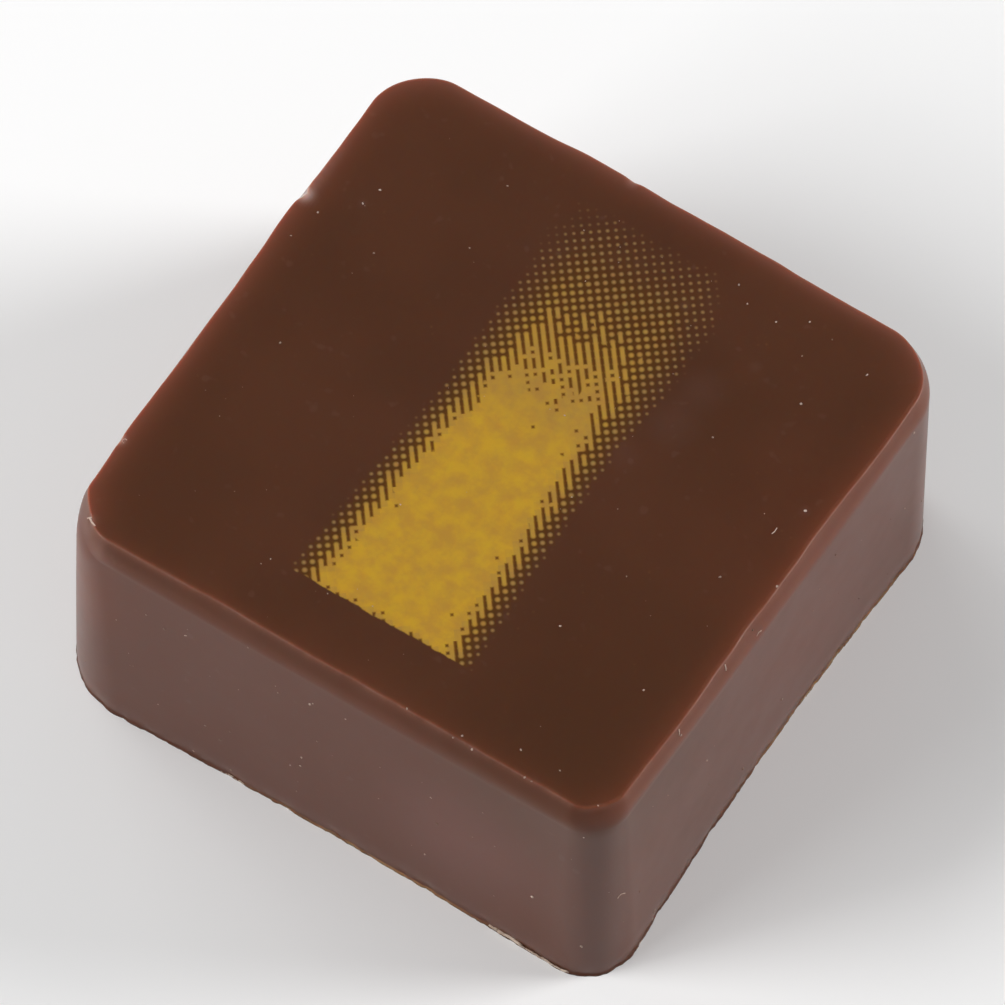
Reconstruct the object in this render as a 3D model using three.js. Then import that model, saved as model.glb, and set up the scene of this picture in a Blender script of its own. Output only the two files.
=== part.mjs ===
// A moulded chocolate bonbon: a low square block with round corners, a flat underside and a flat top.
// Millimetres, +Z up, with the origin at the middle of the underside.
import * as THREE from 'three';
import { mergeVertices } from 'three/addons/utils/BufferGeometryUtils.js';

// Plan outlines. Corners run +X+Y, -X+Y, -X-Y, +X-Y, and the side after each runs +Y, -X, -Y, +X.
// A bow is how far the middle of a side stands out of a straight line, or in where it is negative.
// The lean is how far the +X side moves out for each millimetre along +Y.
const BASE = {
  midX: 0,
  midY: 0,
  halfX: 13.43,
  halfY: 13.39,
  radii: [3.43, 2.4, 3.38, 2.53],
  bows: [0.03, 0.11, -0.3, -0.54],
  lean: 0,
};
const TOP = {
  midX: -0.16,
  midY: 0.17,
  halfX: 12.97,
  halfY: 12.79,
  radii: [2.65, 2.38, 2.06, 1.79],
  bows: [0.24, 0.15, 0.04, 0.07],
  lean: 0.019,
};
const HEIGHT = 12.36;
const BOW_FADE_POWER = 4;

// Edges: the steep shoulder, the fine bead where the top meets it, and the burr round the foot.
// The shoulder's power is 1 for a quarter of an ellipse and 2 for a flat bevel.
const SHOULDER_INSET = 0.34;
const SHOULDER_DROP = 0.72;
const SHOULDER_POWER = 1.48;
const BEAD_RISE = 0.05;
const BEAD_WIDTH = 0.2;
const BURR_REACH = 0.06;
const BURR_HEIGHT = 0.3;

// The hand-finished foot wavers: waves round the outline as [count, phase, share of the depth].
const FOOT_WAVE_DEPTH = 0.06;
const FOOT_WAVE_HEIGHT = 1.2;
const FOOT_WAVES = [[9, 0.4, 0.5], [23, 2.1, 0.3], [41, 4.4, 0.2]];

// Small chips in the rim and the foot: where each is, how far it reaches and how deep it goes.
const CHIPS = [
  { at: [-12.3, -12, HEIGHT], reach: 0.6, depth: 0.14 },
  { at: [-12.8, 5.2, HEIGHT], reach: 0.8, depth: 0.14 },
  { at: [-12.8, -8.2, HEIGHT], reach: 0.6, depth: 0.06 },
  { at: [-2.2, 13, HEIGHT], reach: 0.6, depth: 0.06 },
  { at: [-10.8, -13.1, 0], reach: 0.7, depth: 0.14 },
  { at: [-1.9, -13.1, 0], reach: 0.9, depth: 0.12 },
  { at: [13.2, -4.9, 0], reach: 0.8, depth: 0.12 },
  { at: [13.1, -12, 0], reach: 0.7, depth: 0.1 },
];

// How finely the outline and the heights are stepped.
const CORNER_STEPS = 10;
const SIDE_STEPS = 22;
const ROUND_STEPS = 4 * (CORNER_STEPS + SIDE_STEPS);
const WALL_ROWS = 6;
const SHOULDER_ROWS = 6;
const MIDDLE_SHARE = 0.6;
const MERGE_DISTANCE = 1e-4;

const CORNER_SIGNS = [[1, 1], [-1, 1], [-1, -1], [1, -1]];
const WALL_TOP = HEIGHT - BEAD_RISE - SHOULDER_DROP;

function mixOutlines(level) {
  const mix = (low, high) => THREE.MathUtils.lerp(low, high, level);
  const mixed = {};
  Object.keys(BASE).forEach((key) => {
    const low = BASE[key];
    const high = TOP[key];
    mixed[key] = Array.isArray(low) ? low.map((value, i) => mix(value, high[i])) : mix(low, high);
  });
  return mixed;
}

// Four corner arcs joined by straight sides, drawn in all round by inset.
function outlinePath({ halfX, halfY, radii }, inset) {
  const path = new THREE.Path();
  CORNER_SIGNS.forEach(([signX, signY], corner) => {
    const radius = radii[corner];
    const start = (corner * Math.PI) / 2;
    const centreX = signX * (halfX - radius);
    const centreY = signY * (halfY - radius);
    path.absarc(centreX, centreY, radius - inset, start, start + Math.PI / 2);
  });
  return path.closePath();
}

// A side bows most at its middle, and bow and lean fade quickly away from the outline.
function bow(point, { midX, midY, halfX, halfY, bows, lean }) {
  const [north, west, south, east] = bows;
  const alongX = Math.max(0, 1 - (point.x / halfX) ** 2);
  const alongY = Math.max(0, 1 - (point.y / halfY) ** 2);
  const sideX = point.x > 0 ? east * alongY + lean * point.y : -west * alongY;
  const sideY = point.y > 0 ? north * alongX : -south * alongX;
  const outX = sideX * (point.x / halfX) ** BOW_FADE_POWER;
  const outY = sideY * (point.y / halfY) ** BOW_FADE_POWER;
  return new THREE.Vector2(midX + point.x + outX, midY + point.y + outY);
}

// One closed ring of points at a height, starting at the +X end of the first corner.
function outlineRing(z, inset) {
  const outline = mixOutlines(Math.min(1, z / WALL_TOP));
  const points = [];
  outlinePath(outline, inset).curves.forEach((curve, i) => {
    const steps = i % 2 === 0 ? CORNER_STEPS : SIDE_STEPS;
    for (let step = 0; step < steps; step += 1) {
      points.push(bow(curve.getPoint(step / steps), outline));
    }
  });
  return points;
}

// The section from the middle of the underside, out along it, up the wall and in over the top.
// A row's share is 1 on the outline and falls to 0 on the axis.
function sectionRows() {
  const rows = [
    { share: 0, inset: 0, z: 0 },
    { share: MIDDLE_SHARE, inset: 0, z: 0 },
    { share: 1, inset: -BURR_REACH / 2, z: 0 },
    { share: 1, inset: -BURR_REACH, z: BURR_HEIGHT / 2 },
    { share: 1, inset: 0, z: BURR_HEIGHT },
  ];
  for (let row = 1; row <= WALL_ROWS; row += 1) {
    rows.push({ share: 1, inset: 0, z: THREE.MathUtils.lerp(BURR_HEIGHT, WALL_TOP, row / WALL_ROWS) });
  }
  for (let row = 1; row <= SHOULDER_ROWS; row += 1) {
    const turn = (Math.PI / 2) * (row / SHOULDER_ROWS);
    const inset = SHOULDER_INSET * (1 - Math.cos(turn) ** SHOULDER_POWER);
    rows.push({ share: 1, inset, z: WALL_TOP + SHOULDER_DROP * Math.sin(turn) ** SHOULDER_POWER });
  }
  const face = HEIGHT - BEAD_RISE;
  rows.push(
    { share: 1, inset: SHOULDER_INSET + BEAD_WIDTH / 2, z: HEIGHT },
    { share: 1, inset: SHOULDER_INSET + BEAD_WIDTH, z: face },
    { share: MIDDLE_SHARE, inset: SHOULDER_INSET + BEAD_WIDTH, z: face },
    { share: 0, inset: SHOULDER_INSET + BEAD_WIDTH, z: face },
  );
  return rows;
}

function footWave(step, z) {
  const fade = Math.max(0, 1 - z / FOOT_WAVE_HEIGHT);
  const turn = (2 * Math.PI * step) / ROUND_STEPS;
  const waves = FOOT_WAVES.map(([count, phase, part]) => part * Math.sin(count * turn + phase));
  return FOOT_WAVE_DEPTH * fade * waves.reduce((sum, wave) => sum + wave, 0);
}

function chipDepth(point) {
  return CHIPS.reduce((sum, { at, reach, depth }) => {
    const distance = point.distanceTo(new THREE.Vector3(...at));
    return sum + depth * Math.exp(-((distance / reach) ** 2));
  }, 0);
}

// A point on the outline moves in towards the axis by the foot's wave and by any chip near it.
function surfacePoint(edge, row, step) {
  const point = new THREE.Vector3(edge.x * row.share, edge.y * row.share, row.z);
  if (row.share === 1) {
    const moveIn = chipDepth(point) + footWave(step, row.z);
    const scale = 1 - moveIn / edge.length();
    point.set(point.x * scale, point.y * scale, point.z);
  }
  return point;
}

// Joins the seam and the two middles, and drops the triangles that vanish there.
function closeUp(geometry) {
  geometry.deleteAttribute('normal');
  geometry.deleteAttribute('uv');
  const joined = mergeVertices(geometry, MERGE_DISTANCE);
  const old = joined.index.array;
  const kept = [];
  for (let i = 0; i < old.length; i += 3) {
    const [a, b, c] = old.slice(i, i + 3);
    if (a !== b && b !== c && c !== a) kept.push(a, b, c);
  }
  joined.setIndex(kept);
  joined.computeVertexNormals();
  return joined;
}

function bonbonGeometry() {
  const rows = sectionRows();
  const rings = rows.map((row) => outlineRing(row.z, row.inset));
  const section = rows.map((row, i) => new THREE.Vector2(row.share * rings[i][0].x, row.z));
  const lathe = new THREE.LatheGeometry(section, ROUND_STEPS);
  const { position } = lathe.attributes;
  for (let step = 0; step <= ROUND_STEPS; step += 1) {
    rows.forEach((row, i) => {
      const wrapped = step % ROUND_STEPS;
      const point = surfacePoint(rings[i][wrapped], row, wrapped);
      position.setXYZ(step * rows.length + i, point.x, point.y, point.z);
    });
  }
  const solid = closeUp(lathe);
  solid.computeBoundingBox();
  const middle = solid.boundingBox.getCenter(new THREE.Vector3());
  return solid.translate(-middle.x, -middle.y, 0);
}

const chocolate = new THREE.MeshStandardMaterial({ color: 0x4d3021, roughness: 0.4, metalness: 0 });
const bonbon = new THREE.Mesh(bonbonGeometry(), chocolate);
bonbon.name = 'bonbon';

const part = new THREE.Group();
part.add(bonbon);

export default part;
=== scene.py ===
"""A moulded chocolate bonbon with a gold halftone stripe, dust, lint and flakes, in a plain studio."""

import functools
import math
import random

import bmesh
import bpy
from mathutils import Matrix, Vector, noise


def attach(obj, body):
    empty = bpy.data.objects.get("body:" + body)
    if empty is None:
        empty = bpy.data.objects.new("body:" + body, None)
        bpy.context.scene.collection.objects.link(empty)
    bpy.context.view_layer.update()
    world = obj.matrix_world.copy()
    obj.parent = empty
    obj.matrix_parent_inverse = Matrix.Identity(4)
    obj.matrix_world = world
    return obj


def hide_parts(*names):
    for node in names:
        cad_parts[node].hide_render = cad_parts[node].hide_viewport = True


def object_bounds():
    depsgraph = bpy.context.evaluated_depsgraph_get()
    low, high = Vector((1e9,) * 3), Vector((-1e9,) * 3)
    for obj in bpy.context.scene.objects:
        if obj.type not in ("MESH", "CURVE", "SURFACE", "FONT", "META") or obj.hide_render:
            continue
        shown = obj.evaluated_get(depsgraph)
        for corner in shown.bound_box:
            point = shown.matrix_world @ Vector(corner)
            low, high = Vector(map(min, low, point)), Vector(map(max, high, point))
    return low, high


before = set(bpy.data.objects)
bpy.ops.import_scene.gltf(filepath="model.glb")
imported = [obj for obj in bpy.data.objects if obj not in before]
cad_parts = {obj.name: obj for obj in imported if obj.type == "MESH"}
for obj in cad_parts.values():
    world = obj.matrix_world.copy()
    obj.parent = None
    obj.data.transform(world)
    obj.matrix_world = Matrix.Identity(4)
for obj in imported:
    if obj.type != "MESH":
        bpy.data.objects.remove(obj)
cad_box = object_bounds()

# All sizes below are millimetres, and MM turns them into the scene's metres.
MM = 0.001

# Plan outlines at the base and the top. Corners run +X+Y, -X+Y, -X-Y, +X-Y, and sides +Y, -X, -Y, +X.
# A bow is how far the middle of a side stands out of a straight line, or in where it is negative.
# The lean is how far the +X side moves out for each millimetre along +Y.
BASE = {
    "mid": (0.0, 0.0), "half": (13.43, 13.39), "radii": (3.5, 2.4, 3.55, 2.53),
    "bows": (0.03, 0.11, -0.3, -0.54), "lean": (0.0,),
}
TOP = {
    "mid": (-0.14, 0.12), "half": (12.99, 12.9), "radii": (2.8, 2.57, 2.14, 1.85),
    "bows": (0.24, 0.15, 0.04, 0.04), "lean": (0.019,),
}
CORNER_SIGNS = ((1, 1), (-1, 1), (-1, -1), (1, -1))
BOW_FADE_POWER = 4

# The plan's own origin lies here in the part's frame.
PLAN_MIDDLE = (0.1777, -0.0799)

# Heights and edges. The flat face lies a little below the solid's highest point. The shoulder starts at a
# drop below the face and leans in by an inset, which differ between the +X, +Y, -X and -Y sides and the
# corners. It bends in over the first part of its rise, then leans evenly. The wall tapers below the usual
# drop.
HEIGHT = (cad_box[1].z - cad_box[0].z) / MM
FACE_DROP = 0.05
FACE_Z = HEIGHT - FACE_DROP
SIDE_INSETS = (0.36, 0.27, 0.2, 0.52)
CORNER_INSETS = (0.28, 0.28, 0.58, 0.58)
SIDE_DROPS = (1.0, 1.2, 1.2, 1.2)
CORNER_DROPS = (1.2, 1.2, 2.6, 1.6)
SHOULDER_DROP = 1.2
SHOULDER_BEND = 0.75
WALL_TOP = FACE_Z - SHOULDER_DROP
BEAD_RISE = 0.008
BEAD_WIDTH = 0.14
BURR_REACH = 0.06
BURR_HEIGHT = 0.16

# Waves of the surface as depths and scales, in waves to the millimetre. The rim and the foot sum a few. The
# foot's stay under a top and are drawn in. The wall swells slowly, and the bead's height is uneven.
RIM_WAVES = ((0.11, 0.28), (0.03, 0.8))
FOOT_WAVES = ((0.05, 0.9), (0.05, 2.7), (0.04, 5))
FOOT_WAVE_HEIGHT = 0.9
FOOT_WAVE_TOP = 0.015
FOOT_DRAWN_IN = 0.04
WALL_SWELL = 0.025
SWELL_ALONG, SWELL_UP = 0.22, 0.12
BEAD_UNEVENNESS, BEAD_WAVE = 0.9, 1.7

# How finely the surface is stepped: round the outline, between two steps of it, and up its section.
ROUND_STEPS = 672
FINE_STEPS = 8
CORNER_PART = 0.155
FOOT_ROWS = 6
WALL_ROWS = 22
WALL_ROW_BUNCHING = 0.8
SHOULDER_ROWS = 20
BEAD_ROWS = 6
UNDERSIDE_SHARES = (0.0, 0.3, 0.6, 0.85, 0.95, 0.985, 1.0)
FACE_SHARES = (
    0.996, 0.99, 0.983, 0.974, 0.963, 0.95, 0.932, 0.91, 0.88, 0.83, 0.76, 0.67, 0.56, 0.44, 0.3, 0.15, 0.0,
)

# How far in from the outline its waves still reach, as a share, and how near two points are joined.
RIM_BLEND = 0.06
MERGE_DISTANCE = 0.001

# Chips in the rim and the foot: where each is, how far it reaches, how deep it goes and how pale it is. A
# chip ends at a limit, in reaches, and its depth is rough. The second cuts nothing: it is a pale patch on the
# -X-Y corner, partly wear and partly a painted highlight. The last row is a pale rub along the -X shoulder.
CHIP_LIMIT = 2.5
CHIP_ROUGHNESS, CHIP_GRAIN = 0.5, 5
CHIPS = [
    (Vector((-12.1, -11.95, FACE_Z)), 0.3, 0.06, 0.15),
    (Vector((-11.3, -12.8, FACE_Z - 0.8)), 0.7, 0.0, 0.1),
    (Vector((-13.0, 5.3, FACE_Z)), 0.33, 0.16, 0.9),
    (Vector((-13.05, -8.2, FACE_Z)), 0.22, 0.06, 0.5),
    (Vector((-2.2, 13.0, FACE_Z)), 0.3, 0.07, 0.3),
    (Vector((11.78, -11.9, FACE_Z)), 0.2, 0.04, 0.0),
    (Vector((-10.8, -13.1, 0.0)), 0.3, 0.09, 0.0),
    (Vector((-9.7, -13.2, 0.0)), 0.25, 0.07, 0.0),
    (Vector((-4.7, -13.0, 0.0)), 0.3, 0.05, 0.0),
    (Vector((-1.9, -12.9, 0.0)), 0.3, 0.08, 0.0),
    (Vector((13.2, -4.9, 0.0)), 0.4, 0.08, 0.0),
    (Vector((13.2, -9.1, 0.0)), 0.35, 0.07, 0.0),
    (Vector((13.1, -12.0, 0.0)), 0.35, 0.07, 0.0),
    (Vector((12.5, 2.5, 0.0)), 0.4, 0.05, 0.0),
]
CHIPS += [(Vector((-13.12, 5.8 + 0.4 * i, FACE_Z - 0.15)), 0.4, 0.0, 0.3 - 0.03 * i) for i in range(8)]

# How strongly a painted red glow, standing in for light that seeps through, lies on the rim and the shoulder,
# how strongly the ridge is scuffed and lit by a painted highlight, and how much painted sheen lies along the
# rim and the shoulder, on the +X, +Y, -X and -Y sides, and on the corners for the last.
RIM_GLOW = (0.42, 0.56, 0.74, 0.2)
SHOULDER_GLOW = (0.38, 0.1, 0.1, 0.12)
RIM_SCUFF_AND_HIGHLIGHT = (0.9, 0.4, 0.2, 1.0)
RIM_SHEEN = (0.0, 0.1, 0.06, 0.0)
SHOULDER_SHEEN = (0.02, 0.0, 0.0, 0.0)
CORNER_SHEEN = (0.01, 0.0, 0.05, 0.0)

# How these fade along the section: the glow inside and outside the ridge, the shoulder's start and rise below
# the ridge, and the place below the ridge and the width of its line of scuffs and painted highlight.
GLOW_INSIDE, GLOW_OUTSIDE = 0.5, 0.15
SHOULDER_GLOW_START, SHOULDER_GLOW_RISE = 1.3, 0.8
RIDGE_LINE_PLACE, RIDGE_LINE_WIDTH = 0.03, 0.13


def lerp(a, b, share):
    return a + (b - a) * share


def smooth(share):
    share = min(1.0, max(0.0, share))
    return share * share * (3 - 2 * share)


@functools.lru_cache(maxsize=None)
def outline_at(z):
    """The plan outline's measures at a height."""
    level = min(1.0, z / WALL_TOP)
    return {name: [lerp(b, t, level) for b, t in zip(BASE[name], TOP[name])] for name in BASE}


def arc_point(half, radius, inset, corner, turn):
    """A point on a corner's round, at turn from 0 to 1 of its quarter circle."""
    sign_x, sign_y = CORNER_SIGNS[corner]
    angle = (corner + turn) * math.pi / 2
    x = sign_x * (half[0] - radius) + (radius - inset) * math.cos(angle)
    y = sign_y * (half[1] - radius) + (radius - inset) * math.sin(angle)
    return x, y


def outline_point(step, z, inset):
    """The plan outline's point at a height, drawn in by inset, at a step of its way round."""
    outline = outline_at(z)
    half, radii = outline["half"], outline["radii"]
    north, west, south, east = outline["bows"]
    corner, part = divmod(step * 4 / ROUND_STEPS % 4, 1)
    corner = int(corner)
    if part < CORNER_PART:
        x, y = arc_point(half, radii[corner], inset, corner, part / CORNER_PART)
    else:
        after = (corner + 1) % 4
        share = (part - CORNER_PART) / (1 - CORNER_PART)
        start = arc_point(half, radii[corner], inset, corner, 1)
        end = arc_point(half, radii[after], inset, after, 0)
        x, y = lerp(start[0], end[0], share), lerp(start[1], end[1], share)
    along_x = max(0.0, 1 - (x / half[0]) ** 2)
    along_y = max(0.0, 1 - (y / half[1]) ** 2)
    side_x = east * along_y + outline["lean"][0] * y if x > 0 else -west * along_y
    side_y = north * along_x if y > 0 else -south * along_x
    out_x = side_x * (x / half[0]) ** BOW_FADE_POWER
    out_y = side_y * (y / half[1]) ** BOW_FADE_POWER
    return outline["mid"][0] + x + out_x, outline["mid"][1] + y + out_y


def by_side(values, facing):
    """A value of the +X, +Y, -X and -Y sides for the way an outline faces, blended round the corners."""
    east, north, west, south = values
    side_x = east if facing.x > 0 else west
    side_y = north if facing.y > 0 else south
    return facing.x ** 2 * side_x + facing.y ** 2 * side_y


@functools.lru_cache(maxsize=None)
def outline_facing(step):
    """The way the outline faces at a step of its way round."""
    before, after = outline_point(step - 1, WALL_TOP, 0), outline_point(step + 1, WALL_TOP, 0)
    along = Vector((after[0] - before[0], after[1] - before[1], 0)).normalized()
    return along.cross(Vector((0, 0, 1)))


def by_corner(sides, corners, step):
    """A value of the sides that blends into a value of the corners, at a step of the way round."""
    facing = outline_facing(step)
    corner = CORNER_SIGNS.index((1 if facing.x > 0 else -1, 1 if facing.y > 0 else -1))
    return lerp(by_side(sides, facing), corners[corner], abs(2 * facing.x * facing.y))


@functools.lru_cache(maxsize=None)
def shoulder_size(step):
    """How far in the shoulder leans and how far below the face it starts, at a step of the way round."""
    return by_corner(SIDE_INSETS, CORNER_INSETS, step), by_corner(SIDE_DROPS, CORNER_DROPS, step)


def shoulder_lean(step, z):
    """How far in the shoulder has leaned at a height. Over the bend its slope grows as a smooth step does."""
    inset, drop = shoulder_size(step)
    rise = min(1.0, max(0.0, 1 - (FACE_Z - z) / drop))
    turn = min(1.0, rise / SHOULDER_BEND)
    bent = SHOULDER_BEND * (turn ** 3 - turn ** 4 / 2)
    even = max(0.0, rise - SHOULDER_BEND)
    return inset * (bent + even) / (1 - SHOULDER_BEND / 2)


def section_row(z):
    """A row of the foot, the wall or the shoulder as (share, offset, z).

    The share is 1 on the outline and 0 on the axis, and the offset is a way in besides the shoulder's lean.
    """
    burr = BURR_REACH * (1 - smooth(z / BURR_HEIGHT))
    return 1.0, -burr, z


def section_rows():
    """The section's rows from the middle of the underside, out, up the wall and in over the top."""
    rows = [(share, *section_row(0.0)[1:]) for share in UNDERSIDE_SHARES]
    heights = [BURR_HEIGHT * row / FOOT_ROWS for row in range(1, FOOT_ROWS + 1)]
    for row in range(1, WALL_ROWS + 1):
        share = row / WALL_ROWS
        spaced = 0.5 - 0.5 * math.cos(math.pi * share)
        heights.append(lerp(BURR_HEIGHT, WALL_TOP, lerp(share, spaced, WALL_ROW_BUNCHING)))
    for row in range(1, SHOULDER_ROWS + 1):
        heights.append(WALL_TOP + SHOULDER_DROP * row / SHOULDER_ROWS)
    rows += [section_row(z) for z in heights]
    for row in range(1, BEAD_ROWS + 1):
        share = row / BEAD_ROWS
        rise = BEAD_RISE * math.sin(math.pi * share) ** 2
        rows.append((1.0, BEAD_WIDTH * share, FACE_Z + rise))
    rows += [(share, BEAD_WIDTH, FACE_Z) for share in FACE_SHARES]
    return rows


def flat_place(row):
    """Where a row lies on a plain section, out from the axis and up."""
    share, offset, z = row
    return share * (TOP["half"][0] - offset), z


def section_run(rows):
    """How far along the section each row lies."""
    flat = [Vector(flat_place(row)) for row in rows]
    run = [0.0]
    for a, b in zip(flat, flat[1:]):
        run.append(run[-1] + (b - a).length)
    return run


def chip_at(point):
    """How deep the chips cut at a point, and how pale they leave it."""
    depth = pale = 0.0
    for place, reach, deepest, palest in CHIPS:
        distance = (point - place).length / reach
        if distance < CHIP_LIMIT:
            share = math.exp(-(distance ** 2))
            depth += deepest * share * (1 + CHIP_ROUGHNESS * noise.noise(point * CHIP_GRAIN))
            pale = max(pale, palest * share)
    return depth, pale


def wave_at(point, waves):
    """How far some waves move the surface at a point."""
    return sum(depth * noise.noise(point * scale) for depth, scale in waves)


def surface_point(step, row):
    """Where the surface lies at a step round the outline and a row of the section."""
    share, offset, z = row
    x, y = outline_point(step, z, shoulder_lean(step, z) + offset)
    point = Vector((x * share, y * share, z))
    edge = smooth(1 - (1 - share) / RIM_BLEND)
    if edge == 0:
        return point
    outward = Vector((x, y, 0)).normalized()
    swell = WALL_SWELL * noise.noise(Vector((x * SWELL_ALONG, y * SWELL_ALONG, z * SWELL_UP)))
    move = swell - chip_at(point)[0]
    foot = smooth(1 - z / FOOT_WAVE_HEIGHT)
    if foot > 0:
        move += foot * (min(FOOT_WAVE_TOP, wave_at(point, FOOT_WAVES)) - FOOT_DRAWN_IN)
    if z > WALL_TOP:
        rim = smooth((z - WALL_TOP) / SHOULDER_DROP)
        move += rim * wave_at(point, RIM_WAVES)
    if z > FACE_Z:
        point.z += (z - FACE_Z) * BEAD_UNEVENNESS * noise.noise(point * BEAD_WAVE)
    return point + outward * move * edge


def finish_piece(name, bm, material):
    """Turns a bmesh in millimetres into a smooth piece that rides on the bonbon's body."""
    bmesh.ops.translate(bm, verts=bm.verts, vec=(*PLAN_MIDDLE, 0))
    bmesh.ops.scale(bm, verts=bm.verts, vec=(MM, MM, MM))
    for face in bm.faces:
        face.smooth = True
    mesh = bpy.data.meshes.new(name)
    bm.to_mesh(mesh)
    bm.free()
    mesh.materials.append(material)
    piece = bpy.data.objects.new(name, mesh)
    bpy.context.scene.collection.objects.link(piece)
    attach(piece, "root")
    return piece


# Where the surface lies on its bake map: the top, two by two sides, and the underside, as (left, low, size).
TOP_ISLAND = (0.005, 0.005, 0.67)
SIDE_ISLANDS = ((0.69, 0.005), (0.845, 0.005), (0.69, 0.505), (0.845, 0.505))
SIDE_ISLAND_SIZE = (0.145, 0.485)
UNDERSIDE_ISLAND = (0.005, 0.69, 0.3)
PLAN_REACH = 13.7


def plan_uv(point, island):
    left, low, size = island
    return left + size * (0.5 + point.x / PLAN_REACH / 2), low + size * (0.5 + point.y / PLAN_REACH / 2)


def lay_out_map(bm, row_of, step_of, run, first_row, last_row):
    """Lays the top and the underside flat on the bake map, and unrolls each side between the two rows."""
    uv = bm.loops.layers.uv.new("OFBake")
    quarter = ROUND_STEPS // 4
    for face in bm.faces:
        rows = [vert[row_of] for vert in face.verts]
        steps = [vert[step_of] for vert in face.verts]
        wraps = max(steps) - min(steps) > quarter
        steps = [step + ROUND_STEPS if wraps and step < quarter else step for step in steps]
        side = min(steps) // quarter
        left, low = SIDE_ISLANDS[side]
        for loop, row, step in zip(face.loops, rows, steps):
            if max(rows) <= first_row:
                loop[uv].uv = plan_uv(loop.vert.co, UNDERSIDE_ISLAND)
            elif min(rows) >= last_row:
                loop[uv].uv = plan_uv(loop.vert.co, TOP_ISLAND)
            else:
                up = (run[row] - run[first_row]) / (run[last_row] - run[first_row])
                along = step / quarter - side
                loop[uv].uv = (left + SIDE_ISLAND_SIZE[0] * up, low + SIDE_ISLAND_SIZE[1] * along)


def wall_frame(step, z):
    """A point of the foot, the wall or the shoulder, and the way its outline faces there."""
    return surface_point(step, section_row(z)), outline_facing(step)


def wall_place(x, y, z):
    """The wall's point nearest to a place in plan, and the way it faces."""
    def gap(step):
        here = outline_point(step, z, 0)
        return math.hypot(here[0] - x, here[1] - y)

    step = min(range(ROUND_STEPS), key=gap)
    step = min((step + part / FINE_STEPS for part in range(-FINE_STEPS, FINE_STEPS + 1)), key=gap)
    return wall_frame(step, z)


def bonbon_body(material):
    """The moulded block: its section spun round the axis, then squared up to the plan outline."""
    rows = section_rows()
    run = section_run(rows)
    bm = bmesh.new()
    row_of = bm.verts.layers.int.new("row")
    step_of = bm.verts.layers.int.new("step")
    glow_of = bm.verts.layers.float.new("rim_glow")
    ridge_of = bm.verts.layers.float.new("ridge")
    pale_of = bm.verts.layers.float.new("pale")
    section = []
    for i, row in enumerate(rows):
        out, z = flat_place(row)
        vert = bm.verts.new((out, 0, z))
        vert[row_of] = i
        section.append(vert)
    edges = [bm.edges.new(pair) for pair in zip(section, section[1:])]
    bmesh.ops.spin(
        bm, geom=section + edges, cent=(0, 0, 0), axis=(0, 0, 1), angle=2 * math.pi,
        steps=ROUND_STEPS, use_merge=True,
    )
    on_axis = [vert for vert in bm.verts if rows[vert[row_of]][0] == 0]
    bmesh.ops.remove_doubles(bm, verts=on_axis, dist=MERGE_DISTANCE)
    ridge_row = len(rows) - len(FACE_SHARES) - BEAD_ROWS - 1
    for vert in bm.verts:
        turn = math.atan2(vert.co.y, vert.co.x) / (2 * math.pi)
        step = round(turn * ROUND_STEPS) % ROUND_STEPS
        inside = run[vert[row_of]] - run[ridge_row]
        fall = math.exp(-inside / GLOW_INSIDE) if inside > 0 else math.exp(-((inside / GLOW_OUTSIDE) ** 2))
        shoulder = smooth((inside + SHOULDER_GLOW_START) / SHOULDER_GLOW_RISE) if inside < 0 else 0.0
        ridge_line = math.exp(-(((inside + RIDGE_LINE_PLACE) / RIDGE_LINE_WIDTH) ** 2))
        facing = outline_facing(step)
        vert[step_of] = step
        # Painted glow: a red tint for light seeping through the rim, and painted light on the shoulder band.
        vert[glow_of] = max(by_side(RIM_GLOW, facing) * fall, by_side(SHOULDER_GLOW, facing) * shoulder)
        vert[ridge_of] = by_side(RIM_SCUFF_AND_HIGHLIGHT, facing) * ridge_line
        vert.co = surface_point(step, rows[vert[row_of]])
        if vert.co.z > WALL_TOP:
            # Painted sheen on the far rims and painted highlights on the shoulders and corners, besides the
            # chips' pale.
            sheen = by_corner(SHOULDER_SHEEN, CORNER_SHEEN, step) * shoulder
            vert[pale_of] = max(chip_at(vert.co)[1], by_side(RIM_SHEEN, facing) * fall ** 2, sheen)
    bmesh.ops.recalc_face_normals(bm, faces=bm.faces)
    lay_out_map(bm, row_of, step_of, run, len(UNDERSIDE_SHARES) - 1, ridge_row - SHOULDER_ROWS // 2)
    return finish_piece("bonbon_body", bm, material)


# Specks of dust that lie where the photograph shows them: (x, y, size) on the top, (x, z, size) on the -Y
# side and (y, z, size) on the +X side.
TOP_SPECKS = (
    (8.86, 7.92, 0.045), (10.47, -6.45, 0.045), (-10.53, 7.07, 0.05), (10.3, -0.5, 0.05),
    (10.37, 10.48, 0.045), (3.89, 11.2, 0.05), (6.04, 10.57, 0.035), (4.63, 10.64, 0.035),
    (6.15, -5.82, 0.04), (3.84, 6.31, 0.035), (5.53, -12.07, 0.055), (7.82, -11.35, 0.04),
    (11.56, 3.88, 0.06), (-10.77, 6.16, 0.035), (-12.06, 4.83, 0.04), (-12.39, 3.35, 0.035),
    (3.06, -12.24, 0.045), (5.28, -12.34, 0.05), (6.19, -12.39, 0.045), (8.6, -12.3, 0.04),
    (12.42, 0.37, 0.045), (11.7, -11.79, 0.045), (8.92, -12.3, 0.04), (9.6, -11.29, 0.035),
)
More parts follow.
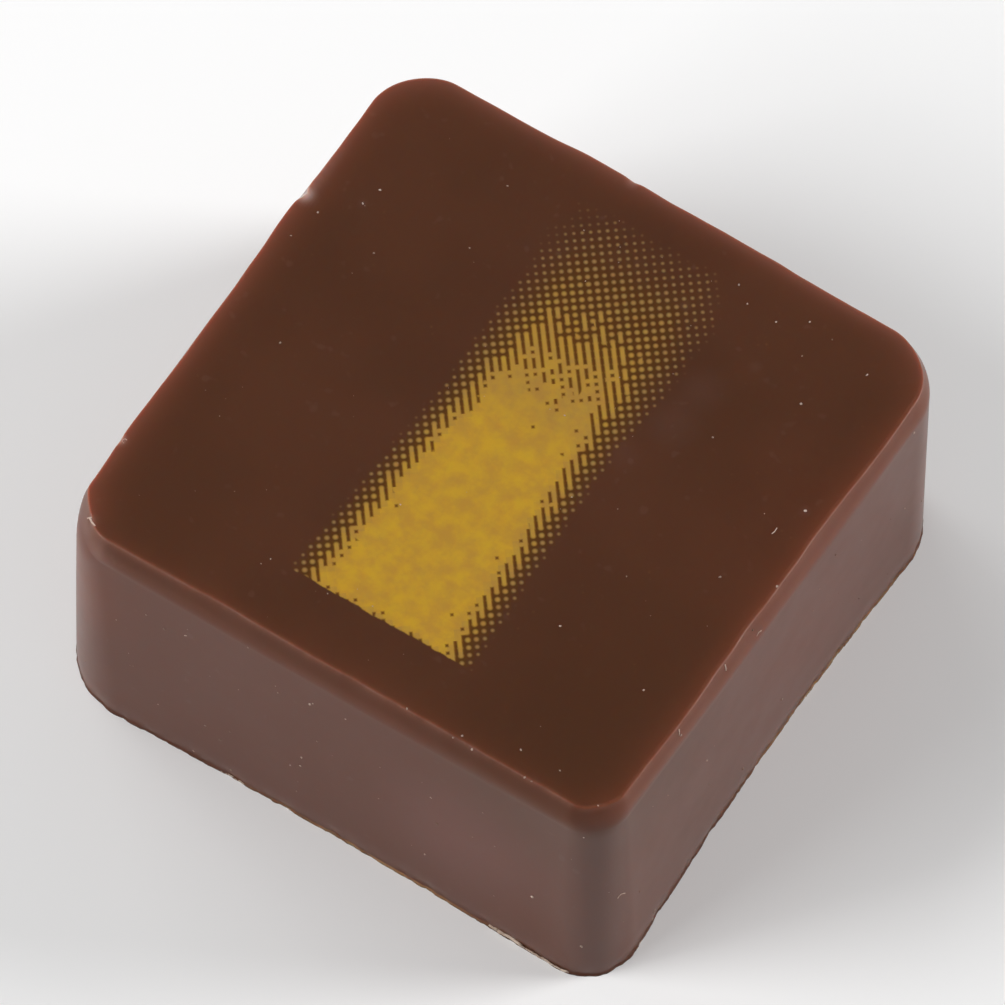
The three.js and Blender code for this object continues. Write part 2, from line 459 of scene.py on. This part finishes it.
LEFT_SPECKS = (
    (-1.34, 4.83, 0.055), (-1.38, 4.1, 0.05), (-1.85, 3.7, 0.04), (-1.46, 2.73, 0.04), (-5.15, 2.53, 0.065),
    (-6.41, 0.4, 0.04), (-2.56, 8.93, 0.05), (-1.05, 9.46, 0.06), (-0.94, 9.64, 0.05), (-0.65, 6.82, 0.05),
    (9.63, 4.41, 0.065), (11.95, 2.37, 0.06), (5.05, 5.77, 0.055), (-4.62, 0.57, 0.05), (-7.93, 8.85, 0.045),
    (-6.94, 9.27, 0.045), (4.58, 2.78, 0.045), (4.69, 7.54, 0.045), (7.88, 2.7, 0.035), (0.6, 9.9, 0.04),
    (-9.3, 4.6, 0.035), (2.3, 5.1, 0.035), (7.1, 8.7, 0.035),
)
RIGHT_SPECKS = (
    (-2.3, 1.57, 0.06), (9.8, 11.2, 0.06), (6.32, 2.67, 0.045), (-10.43, 4.11, 0.045), (-5.29, 6.94, 0.05),
    (0.58, 2.92, 0.05), (-7.14, 11.9, 0.05), (-1.7, 12.05, 0.05), (2.6, 7.3, 0.035), (-8.2, 8.6, 0.035),
    (4.1, 9.7, 0.04), (8.4, 6.2, 0.035),
)

# A speck's length, width, height and lumps go by its size, and it is turned any way, in radians. One on a
# side lies on the wall nearest to a reach. Loose specks lie anywhere.
DUST_SEED = 11
SIDE_REACH = 13
SPECK_SCALE = 1.3
SPECK_LENGTHS, SPECK_WIDTHS, SPECK_HEIGHT = (0.8, 1.2), (0.6, 1.0), 0.5
SPECK_LUMPS = 0.25
SPECK_TURNS = (0, 6.3)
LOOSE_TOP_SPECKS, LOOSE_SIDE_SPECKS = 60, 90
LOOSE_TOP_SIZES, LOOSE_SIDE_SIZES = (0.014, 0.04), (0.016, 0.042)
LOOSE_TOP_REACH = 11.8
LOOSE_SIDE_HEIGHTS = (1.0, 11.4)

# Fibres on the top, the rim and the +X side: each one's thickness, and the points near the surface that it
# joins. A fibre thins by the taper over each length.
FIBRE_SIDES = 6
FIBRE_TAPER = 0.15
FIBRES = (
    (0.028, ((13, -11.87, 5.54), (13, -11.8, 5.63), (13, -11.66, 5.66), (13, -11.42, 5.48))),
    (0.022, ((13, -9.26, 0.81), (13, -9.36, 0.62))),
    (0.025, ((13, -9.41, 0.24), (13, -9.48, 0.13))),
    (0.03, ((13, -3.67, 12.2), (13, -3.72, 12.1), (13, -3.79, 11.98))),
    (0.03, ((13, -7.08, 12.2), (13, -7.13, 12.1), (13, -7.22, 11.98))),
    (0.045, ((-12.12, -11.86, FACE_Z), (-11.95, -11.97, FACE_Z), (-11.75, -12.04, FACE_Z))),
    (0.032, ((-12.45, -11.88, 11.95), (-12.3, -11.83, 12.1), (-12.12, -11.8, 12.28))),
    (0.016, tuple((-12.86 + 0.1 * math.cos(i), -8.17 + 0.1 * math.sin(i), FACE_Z) for i in range(1, 6))),
    (0.026, ((13, -1.36, 11.7), (13, -1.52, 11.76), (13, -1.7, 11.72))),
    (0.024, ((11.0, 2.28, FACE_Z), (11.04, 2.42, FACE_Z), (11.03, 2.62, FACE_Z))),
)

# Runs of flakes along the foot: from x, y to x, y, how many, and the least and greatest size. A flake's
# length, height, thickness, lumps and the height of its middle go by its size.
FLAKE_SEED = 5
FLAKE_LENGTHS, FLAKE_HEIGHT, FLAKE_THICKNESS = (1.1, 1.9), 0.8, 0.35
FLAKE_LUMPS = 0.15
FLAKE_MIDDLE = 0.7
FLAKE_SPACING = (0.2, 0.8)
FLAKE_RUNS = (
    ((7.9, -13.2), (9.3, -13.2), 13, 0.1, 0.16),
    ((9.2, -13.2), (11.5, -13.2), 20, 0.06, 0.11),
    ((-5.1, -13.0), (-4.0, -12.95), 7, 0.04, 0.075),
    ((-1.95, -12.9), (-1.75, -12.9), 2, 0.04, 0.06),
    ((12.3, 2.4), (12.5, 3.2), 5, 0.05, 0.08),
    ((12.6, 3.6), (13.0, 5.8), 9, 0.03, 0.06),
    ((13.2, -10.9), (13.2, -10.4), 3, 0.04, 0.06),
)


def add_lump(bm, rng, place, turn, sizes, lumps):
    """A ball of three sizes, its corners moved by up to the lumps. Gives the corners."""
    where = Matrix.Translation(place) @ turn @ Matrix.Diagonal((*sizes, 1))
    corners = bmesh.ops.create_icosphere(bm, subdivisions=1, radius=1, matrix=where)["verts"]
    for vert in corners:
        vert.co += Vector([rng.uniform(-lumps, lumps) for axis in range(3)])
    return corners


def add_speck(bm, rng, place, facing, size):
    """A flattened lump of one grain's size, half sunk where it lies."""
    upright = facing.to_track_quat("Z", "Y").to_matrix().to_4x4()
    turn = upright @ Matrix.Rotation(rng.uniform(*SPECK_TURNS), 4, "Z")
    size *= SPECK_SCALE
    length, width = size * rng.uniform(*SPECK_LENGTHS), size * rng.uniform(*SPECK_WIDTHS)
    add_lump(bm, rng, place, turn, (length, width, size * SPECK_HEIGHT), size * SPECK_LUMPS)


def dust_specks(material):
    """Pale specks of dust and sugar on the top and the sides."""
    rng = random.Random(DUST_SEED)
    up = Vector((0, 0, 1))
    bm = bmesh.new()
    for x, y, size in TOP_SPECKS:
        add_speck(bm, rng, Vector((x, y, FACE_Z)), up, size)
    for x, z, size in LEFT_SPECKS:
        add_speck(bm, rng, *wall_place(x, -SIDE_REACH, z), size)
    for y, z, size in RIGHT_SPECKS:
        add_speck(bm, rng, *wall_place(SIDE_REACH, y, z), size)
    for i in range(LOOSE_TOP_SPECKS):
        x, y = (rng.uniform(-LOOSE_TOP_REACH, LOOSE_TOP_REACH) for axis in range(2))
        add_speck(bm, rng, Vector((x, y, FACE_Z)), up, lerp(*LOOSE_TOP_SIZES, rng.random() ** 2))
    for i in range(LOOSE_SIDE_SPECKS):
        place, facing = wall_frame(rng.randrange(ROUND_STEPS), rng.uniform(*LOOSE_SIDE_HEIGHTS))
        add_speck(bm, rng, place, facing, lerp(*LOOSE_SIDE_SIZES, rng.random() ** 2))
    return finish_piece("dust_specks", bm, material)


def lint_fibres(material):
    """A few short hairs, each of straight lengths that taper to its end."""
    bm = bmesh.new()
    for thickness, path in FIBRES:
        points = []
        for x, y, z in path:
            point = Vector((x, y, z)) if z == FACE_Z else wall_place(x, y, z)[0]
            points.append(point)
        for i, (a, b) in enumerate(zip(points, points[1:])):
            turn = (b - a).to_track_quat("Z", "Y").to_matrix().to_4x4()
            where = Matrix.Translation((a + b) / 2) @ turn
            bmesh.ops.create_cone(
                bm, cap_ends=True, segments=FIBRE_SIDES, depth=(b - a).length, matrix=where,
                radius1=thickness * (1 - FIBRE_TAPER * i), radius2=thickness * (1 - FIBRE_TAPER * (i + 1)),
            )
    return finish_piece("lint_fibres", bm, material)


def base_flakes(material):
    """Thin flakes of spread fat and crumb that cling along the foot."""
    rng = random.Random(FLAKE_SEED)
    bm = bmesh.new()
    for start, end, count, least, greatest in FLAKE_RUNS:
        for i in range(count):
            share = (i + rng.uniform(*FLAKE_SPACING)) / count
            size = rng.uniform(least, greatest)
            x, y = lerp(start[0], end[0], share), lerp(start[1], end[1], share)
            add_flake(bm, rng, *wall_place(x, y, size * FLAKE_MIDDLE), size)
    return finish_piece("base_flakes", bm, material)


def add_flake(bm, rng, place, facing, size):
    """A flat lump that lies along the foot, longer than it is high."""
    along = facing.cross(Vector((0, 0, 1)))
    turn = Matrix((along, Vector((0, 0, 1)), facing)).transposed().to_4x4()
    sizes = (size * rng.uniform(*FLAKE_LENGTHS), size * FLAKE_HEIGHT, size * FLAKE_THICKNESS)
    for vert in add_lump(bm, rng, place, turn, sizes, size * FLAKE_LUMPS):
        vert.co.z = max(0.0, vert.co.z)


class Wire:
    """A socket in a material's nodes. Arithmetic on wires adds Math nodes."""

    def __init__(self, tree, socket):
        self.tree = tree
        self.socket = socket

    def node(self, kind, settings, sockets, output=0):
        """Adds a node of a type, with its settings set first and its sockets filled, and gives one output."""
        made = self.tree.nodes.new("ShaderNode" + kind)
        for name, value in settings.items():
            setattr(made, name, value)
        for name, value in sockets.items():
            if isinstance(value, Wire):
                self.tree.links.new(value.socket, made.inputs[name])
            else:
                made.inputs[name].default_value = value
        return Wire(self.tree, made.outputs[output])

    def math(self, operation, *values):
        return self.node("Math", {"operation": operation}, dict(enumerate((self, *values))))

    def __add__(self, other):
        return self.math("ADD", other)

    __radd__ = __add__

    def __sub__(self, other):
        return self.math("SUBTRACT", other)

    def __rsub__(self, other):
        return self.node("Math", {"operation": "SUBTRACT"}, {0: other, 1: self})

    def __mul__(self, other):
        return self.math("MULTIPLY", other)

    def __truediv__(self, other):
        return self.math("DIVIDE", other)

    def __abs__(self):
        return self.math("ABSOLUTE")

    def clamp(self, low, high):
        return self.node("Clamp", {}, {"Value": self, "Min": low, "Max": high})

    def ramp(self, low, high, start=0.0, end=1.0):
        """A smooth rise from start to end as the value goes from low to high."""
        sockets = {"Value": self, "From Min": low, "From Max": high, "To Min": start, "To Max": end}
        return self.node("MapRange", {"interpolation_type": "SMOOTHSTEP"}, sockets)

    def noise(self, scale, detail=2.0, roughness=0.5):
        """Noise about 0 at this vector, with a scale in waves per unit."""
        sockets = {"Vector": self, "Scale": scale, "Detail": detail, "Roughness": roughness}
        return self.node("TexNoise", {}, sockets) - 0.5

    def pattern(self, waves, ramp):
        """A share that varies as noise at this vector does."""
        return self.noise(*waves).ramp(*ramp)

    def axis(self, name):
        return self.node("SeparateXYZ", {}, {0: self}, name)

    def near(self, place, radius):
        """1 at a place, falling smoothly to 0 at a radius round it."""
        distance = self.node("VectorMath", {"operation": "DISTANCE"}, {0: self, 1: place}, "Value")
        return distance.ramp(radius, 0.0)

    def mix(self, first, second):
        """A colour between two, by this value. Each is a wire or a tuple of red, green and blue."""
        colours = [(*colour, 1) if isinstance(colour, tuple) else colour for colour in (first, second)]
        return self.node("Mix", {"data_type": "RGBA"}, {"Factor": self, 6: colours[0], 7: colours[1]}, 2)


def new_material(name):
    """A material with one Principled shader, and a wire of its Object coordinates in millimetres."""
    material = bpy.data.materials.new(name)
    material.use_nodes = True
    tree = material.node_tree
    shader = tree.nodes["Principled BSDF"]
    place = Wire(tree, tree.nodes.new("ShaderNodeTexCoord").outputs["Object"])
    place = place.node("VectorMath", {"operation": "SCALE"}, {0: place, "Scale": 1 / MM})
    return material, shader, place


def plug(wire, shader, socket):
    wire.tree.links.new(wire.socket, shader.inputs[socket])


# The stripe's print, in millimetres on the top: a square lattice of dots that grow, join in bars along one
# way of the lattice, then across it, and close up. A tone says how far this has gone, and chance varies it.
STRIPE_END_Y = -9.5
STRIPE_END_TONE = 0.78
STRIPE_MIDDLE_X = 0.307
STRIPE_LEAN = 0.015
STRIPE_HALF_WIDTH = 3.83
WAIST_Y = 0.5
FLARE = 0.0525
EDGE_LENGTH = 2.1
FULL_TONE = 1.2
FADE_END_Y = 11.5
FADE_LENGTH = 11.5
FADE_LIMIT = 1.1
TONE_WAVES, TONE_WAVER = (0.9, 1.0), 0.16
END_WAVES, END_WAVER, END_SOFTNESS = (2.0, 2.0), 0.16, 0.04
PRINT_HEIGHTS = (FACE_Z - 0.2, FACE_Z - 0.1)
INK_GAIN, INK_LOSS = 1.1, 0.1
DOT_PITCH = 0.34
DOT_ANGLE = math.radians(38.25)
DOT_SIZE = 0.39
DOT_CHANCE = 0.07
DOT_LIMIT = 0.29
DOT_SOFTNESS = 0.2
FIRST_DOTS = (0.02, 0.13)
BAR_SOFTNESS = 0.14
BAR_TONES, BAR_HALF_WIDTHS = (0.5, 0.95), (0.25, 0.31)
SWITCH_TONE = 0.01
BAR_TONE, BAR_SPREAD = 0.47, 0.2
LINK_TONE, LINK_SPREAD = 0.66, 0.28
FILL_TONE, FILL_SPREAD = 0.78, 0.22
STRAY_HOLES, STRAY_POWER = 0.3, 40


def stripe_fade(y):
    return ((FADE_END_Y - y) / FADE_LENGTH).clamp(0.0, FADE_LIMIT)


def stripe_tone(x, y):
    """How much gold the print lays at a place: 0 for none, and 1 or more where it has closed up."""
    across = abs(x - STRIPE_MIDDLE_X - y * STRIPE_LEAN)
    inside = (abs(y - WAIST_Y) * FLARE + STRIPE_HALF_WIDTH - across) / EDGE_LENGTH
    tone = inside.clamp(0.0, 1.0) * FULL_TONE * stripe_fade(y)
    return tone.math("MINIMUM", y - (STRIPE_END_Y - STRIPE_END_TONE))


def stripe_print(place):
    """The printed share, 1 on gold and 0 on bare chocolate, the tone there, and how thickly the ink lies."""
    x, y, z = (place.axis(name) for name in "XYZ")
    cosine, sine = math.cos(DOT_ANGLE) / DOT_PITCH, math.sin(DOT_ANGLE) / DOT_PITCH
    over = x * cosine + y * sine
    along = y * cosine - x * sine
    waver = place.noise(*TONE_WAVES) * TONE_WAVER
    square = DOT_PITCH ** 2

    def lattice(i, j):
        """The tone at a place of the lattice, and a chance from 0 to 1 for it."""
        tone = stripe_tone((i * cosine - j * sine) * square, (i * sine + j * cosine) * square)
        spot = place.node("CombineXYZ", {}, {0: i, 1: j})
        return tone + waver, place.node("TexWhiteNoise", {"noise_dimensions": "2D"}, {"Vector": spot})

    def strip(tone, off):
        """A bar's own shape, wider where the tone is higher."""
        return (tone.ramp(*BAR_TONES, *BAR_HALF_WIDTHS) - off).ramp(-BAR_SOFTNESS, BAR_SOFTNESS)

    def switch(tone, chance, start, spread):
        """1 where a tone, less a chance part of the spread, has passed the start, else 0."""
        return (tone - chance * spread).ramp(start, start + SWITCH_TONE)

    near_i, near_j = over.math("ROUND"), along.math("ROUND")
    mid_i, mid_j = over.math("FLOOR") + 0.5, along.math("FLOOR") + 0.5
    off_i, off_j = abs(over - near_i), abs(along - near_j)
    tone, chance = lattice(near_i, near_j)
    size = tone.math("MAXIMUM", 0.0).math("SQRT") * (chance * DOT_CHANCE + DOT_SIZE)
    size = size.math("MINIMUM", DOT_LIMIT)
    dots = (size - (off_i * off_i + off_j * off_j).math("SQRT")).ramp(-DOT_SOFTNESS, DOT_SOFTNESS)
    dots = dots * tone.ramp(*FIRST_DOTS)
    bar_tone, chance = lattice(near_i, mid_j)
    bars = switch(bar_tone, chance, BAR_TONE, BAR_SPREAD) * strip(bar_tone, off_i)
    link_tone, chance = lattice(mid_i, near_j)
    links = switch(link_tone, chance, LINK_TONE, LINK_SPREAD) * strip(link_tone, off_j)
    fill_tone, chance = lattice(mid_i, mid_j)
    stray = chance.math("POWER", STRAY_POWER) * STRAY_HOLES
    fill = switch(fill_tone - stray, chance, FILL_TONE, FILL_SPREAD)
    mask = dots.math("MAXIMUM", bars).math("MAXIMUM", links).math("MAXIMUM", fill)
    edge = y - STRIPE_END_Y + place.noise(*END_WAVES) * END_WAVER
    here = edge.ramp(-END_SOFTNESS, END_SOFTNESS) * z.ramp(*PRINT_HEIGHTS)
    ink = (tone * INK_GAIN - INK_LOSS).math("MINIMUM", stripe_fade(y))
    return mask * here, tone * here, ink


# Patterns in the chocolate: noise as (scale, detail, roughness), and the ramp that makes it a share.
CLOUD = ((0.22, 1.0), (-0.2, 0.2))
LOOSE_SMUDGES = ((1.6, 1.0), (0.17, 0.3))
RIDGE_LINE_GRAIN = ((1.9, 2.0, 0.6), (-0.3, 0.25, 0.2, 0.62))
BURR_GRAIN = ((1.4, 1.0), (-0.2, 0.12, 0.4, 1.0))
MOTTLE = ((1.3, 3.0, 0.62), (-0.2, 0.2))
TINT = ((0.8,), (-0.2, 0.2))

# Where the top's brown gives way to the wall's, where the burr's tan of painted light sets in, and the tones
# and the ink over which the browns and the golds of the stripe change.
WALL_HEIGHTS = (FACE_Z - 0.4, FACE_Z - 1.1)
TAN_HEIGHTS, TAN_LIMIT = (0.17, 0.1), 0.9
INKED_TONES, CLOSED_TONES = (0.02, 0.4), (0.4, 1.0)
EVEN_INK, FULL_INK = (0.1, 0.62), (0.78, 1.0)

# The satin: its roughness, how that wavers, and what the print and the glow add.
ROUGHNESS = 0.31
ROUGHNESS_WAVES, ROUGHNESS_WAVER = (0.5, 2.0), 0.1
PRINT_ROUGHNESS, GLOW_ROUGHNESS = 0.12, 0.2
PRINT_METAL = 0.15

# Colours of the chocolate, from the moulded brown to what the light, wear and print make of it.
TOP_BROWNS = ((0.0745, 0.0233, 0.0088), (0.083, 0.026, 0.0102))
WALL_BROWN = (0.09, 0.0245, 0.0105)
SMUDGE_BROWN = (0.12, 0.058, 0.042)
# The painted glow's red, standing in for light through the rim and on the shoulder.
GLOW_RED = (0.212, 0.05, 0.018)
# The ridge's paler brown: partly scuffs, partly a painted highlight on the edge.
SCUFF_AND_HIGHLIGHT_BROWN = (0.19, 0.075, 0.042)
# The pale of broken chips, and of painted sheen and highlights along the rim and corners.
CHIP_AND_SHEEN_PALE = (0.45, 0.36, 0.33)
LIT_BURR_TAN = (0.3, 0.135, 0.06)
INKED_BROWN, CLOSED_BROWN = (0.088, 0.03, 0.001), (0.15, 0.05, 0.001)
INKED_PART = 0.8
THIN_GOLD = (0.295, 0.175, 0.064)
EVEN_GOLDS = ((0.395, 0.22, 0.042), (0.455, 0.265, 0.03))
FULL_GOLDS = ((0.45, 0.246, 0.032), (0.535, 0.315, 0.019))

# Broad patches where the brown differs: place, radius, strength and colour. The first is painted shade that
# darkens the top towards the front corner, the second a painted grey reflection on the -Y wall near the front
# corner, the third makes the +X wall redder, and the last is painted light on the -X-Y corner.
BROWN_AND_PAINTED_LIGHT_PATCHES = (
    ((9.0, -9.5, FACE_Z), 8.0, 1.0, (0.068, 0.0215, 0.0075)),
    ((6.3, -13.3, 5.5), 5.5, 0.9, (0.118, 0.043, 0.03)),
    ((13.2, 3.0, 6.0), 10.0, 0.7, (0.105, 0.0225, 0.008)),
    ((-13.0, -12.6, 8.5), 5.0, 0.5, (0.15, 0.036, 0.014)),
)

# The parts of the foot where the burr's edge gets a tan line of painted light, as if it caught the lamps.
LIT_FOOT = ((2.5, -13.3, 0), (13.3, 4.0, 0))
LIT_FOOT_RADIUS = 9.0

# Faint smudges on the top: x, y, radius and strength, and the strength of those that lie anywhere.
LOOSE_STRENGTH = 0.3
SMUDGES = (
    (5.4, 6.2, 1.4, 0.2), (5.2, 4.3, 1.6, 0.22), (4.3, 2.0, 1.1, 0.15), (9.1, -12.2, 0.35, 0.4),
    (11.75, 3.77, 0.35, 0.45), (9.8, -11.4, 0.3, 0.35), (6.6, 8.3, 0.4, 0.25), (-10.6, 6.1, 0.3, 0.35),
)


def attribute(tree, name):
    made = tree.nodes.new("ShaderNodeAttribute")
    made.attribute_name = name
    return Wire(tree, made.outputs["Fac"])


def chocolate():
    """Satin moulded chocolate with a painted red glow near its rim, scuffs and a painted highlight along the
    ridge, broad patches of painted light and shade, and the printed stripe.
    """
    material, shader, place = new_material("chocolate")
    glow, ridge, pale = (attribute(material.node_tree, name) for name in ("rim_glow", "ridge", "pale"))
    z = place.axis("Z")
    brown = place.pattern(*CLOUD).mix(*TOP_BROWNS)
    brown = z.ramp(*WALL_HEIGHTS).mix(brown, WALL_BROWN)
    smudge = sum(place.near((x, y, FACE_Z), radius) * strength for x, y, radius, strength in SMUDGES)
    smudge = smudge + place.pattern(*LOOSE_SMUDGES) * LOOSE_STRENGTH
    brown = smudge.mix(brown, SMUDGE_BROWN)
    # Painted shade, reflection and light in broad patches, and a redder +X wall.
    for spot, radius, strength, colour in BROWN_AND_PAINTED_LIGHT_PATCHES:
        brown = (place.near(spot, radius) * strength).mix(brown, colour)
    # Painted light: the rim's and the shoulder's red glow mixed into the colour.
    brown = glow.mix(brown, GLOW_RED)
    # The ridge's line: partly scuffs, partly a painted highlight where the edge would catch the light.
    ridge_line = ridge * place.pattern(*RIDGE_LINE_GRAIN)
    brown = ridge_line.mix(brown, SCUFF_AND_HIGHLIGHT_BROWN)
    # Pale chips and rubs, and painted sheen and highlights on the rim and corners.
    brown = pale.mix(brown, CHIP_AND_SHEEN_PALE)
    lit_foot = sum(place.near(spot, LIT_FOOT_RADIUS) for spot in LIT_FOOT)
    # Painted light: a tan line where the burr's edge would catch the lamps.
    burr = z.ramp(*TAN_HEIGHTS) * lit_foot * place.pattern(*BURR_GRAIN)
    brown = burr.clamp(0.0, TAN_LIMIT).mix(brown, LIT_BURR_TAN)
    mask, tone, ink = stripe_print(place)
    brown = (tone.ramp(*INKED_TONES) * INKED_PART).mix(brown, INKED_BROWN)
    brown = (tone.ramp(*CLOSED_TONES) * INKED_PART).mix(brown, CLOSED_BROWN)
    mottle = place.pattern(*MOTTLE)
    gold = ink.ramp(*EVEN_INK).mix(THIN_GOLD, mottle.mix(*EVEN_GOLDS))
    gold = ink.ramp(*FULL_INK).mix(gold, mottle.mix(*FULL_GOLDS))
    plug(mask.mix(brown, gold), shader, "Base Color")
    rough = place.noise(*ROUGHNESS_WAVES) * ROUGHNESS_WAVER + ROUGHNESS
    plug(rough + mask * PRINT_ROUGHNESS + glow * GLOW_ROUGHNESS, shader, "Roughness")
    plug(mask * PRINT_METAL, shader, "Metallic")
    shader.inputs["Subsurface Weight"].default_value = 0.8
    shader.inputs["Subsurface Radius"].default_value = (1.0, 0.3, 0.12)
    shader.inputs["Subsurface Scale"].default_value = 1.0 * MM
    shader.inputs["IOR"].default_value = 1.36
    return material


def pale_matter(name, dark, light):
    """Dull dust, lint or crumb whose colour varies from piece to piece."""
    material, shader, place = new_material(name)
    plug(place.pattern(*TINT).mix(dark, light), shader, "Base Color")
    shader.inputs["Roughness"].default_value = 0.7
    return material


# The plain studio: the floor's half width in metres and shade, the room's light, and lamps one metre away as
# (name, azimuth, elevation, watts).
FLOOR_REACH = 2.0
FLOOR_SHADE = 0.88
ROOM_LIGHT = 0.216
LAMP_SIZE = 0.45
LAMPS = (
    ("far_left", -100, 15, 2.9),
    ("left", -52, 34, 5.9),
    ("front_left", -30, 25, 3.0),
    ("right", 131, 21, 9.6),
    ("back", 240, 35, 0.8),
)


def pale_floor():
    material, shader = new_material("pale_floor")[:2]
    shader.inputs["Base Color"].default_value = (FLOOR_SHADE, FLOOR_SHADE, FLOOR_SHADE, 1)
    shader.inputs["Roughness"].default_value = 0.8
    return material


# The photograph's view, as the fit of its outline gives it, and how near and far it shows, in metres.
VIEW_CLIP = (0.01, 10)
VIEW_AZIMUTH = 30.3725
VIEW_ELEVATION = 61.2749
VIEW_ROLL = 2.2553
VIEW_DISTANCE = 661.53
VIEW_LENS = 590.04
VIEW_AIM = (-0.1821, 0.3327, 6.4748)


def direction(azimuth, elevation):
    """A unit vector, with azimuth 0 towards -Y and 90 towards +X."""
    a, e = math.radians(azimuth), math.radians(elevation)
    return Vector((math.sin(a) * math.cos(e), -math.cos(a) * math.cos(e), math.sin(e)))


def photo_camera():
    back = direction(VIEW_AZIMUTH, VIEW_ELEVATION)
    level = direction(VIEW_AZIMUTH + 90, 0)
    above = back.cross(level)
    roll = math.radians(VIEW_ROLL)
    right = level * math.cos(roll) + above * math.sin(roll)
    up = above * math.cos(roll) - level * math.sin(roll)
    data = bpy.data.cameras.new("camera")
    data.lens = VIEW_LENS
    data.clip_start, data.clip_end = VIEW_CLIP
    camera = bpy.data.objects.new("camera", data)
    bpy.context.scene.collection.objects.link(camera)
    place = (Vector(VIEW_AIM) + back * VIEW_DISTANCE) * MM
    camera.matrix_world = Matrix.Translation(place) @ Matrix((right, up, back)).transposed().to_4x4()
    bpy.context.scene.camera = camera


def lamp(name, azimuth, elevation, watts):
    """A disc of light, one metre away and turned to the bonbon."""
    data = bpy.data.lights.new(name, "AREA")
    data.shape = "DISK"
    data.size = LAMP_SIZE
    data.energy = watts
    light = bpy.data.objects.new(name, data)
    bpy.context.scene.collection.objects.link(light)
    away = direction(azimuth, elevation)
    light.location = away
    light.rotation_euler = away.to_track_quat("Z", "Y").to_euler()


def studio():
    bm = bmesh.new()
    bmesh.ops.create_grid(bm, x_segments=1, y_segments=1, size=FLOOR_REACH)
    mesh = bpy.data.meshes.new("floor")
    bm.to_mesh(mesh)
    bm.free()
    mesh.materials.append(pale_floor())
    floor = bpy.data.objects.new("floor", mesh)
    bpy.context.scene.collection.objects.link(floor)
    world = bpy.data.worlds.new("room")
    world.use_nodes = True
    world.node_tree.nodes["Background"].inputs["Color"].default_value = (1, 1, 1, 1)
    world.node_tree.nodes["Background"].inputs["Strength"].default_value = ROOM_LIGHT
    bpy.context.scene.world = world
    bpy.context.scene.view_settings.view_transform = "Standard"
    for settings in LAMPS:
        lamp(*settings)


photo_camera()
studio()
body = bonbon_body(chocolate())
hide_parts("bonbon")
dust_specks(pale_matter("pale_dust", (0.16, 0.09, 0.06), (0.5, 0.38, 0.32)))
lint_fibres(pale_matter("pale_lint", (0.4, 0.28, 0.22), (0.55, 0.42, 0.35)))
base_flakes(pale_matter("pale_flakes", (0.3, 0.2, 0.14), (0.5, 0.4, 0.32)))
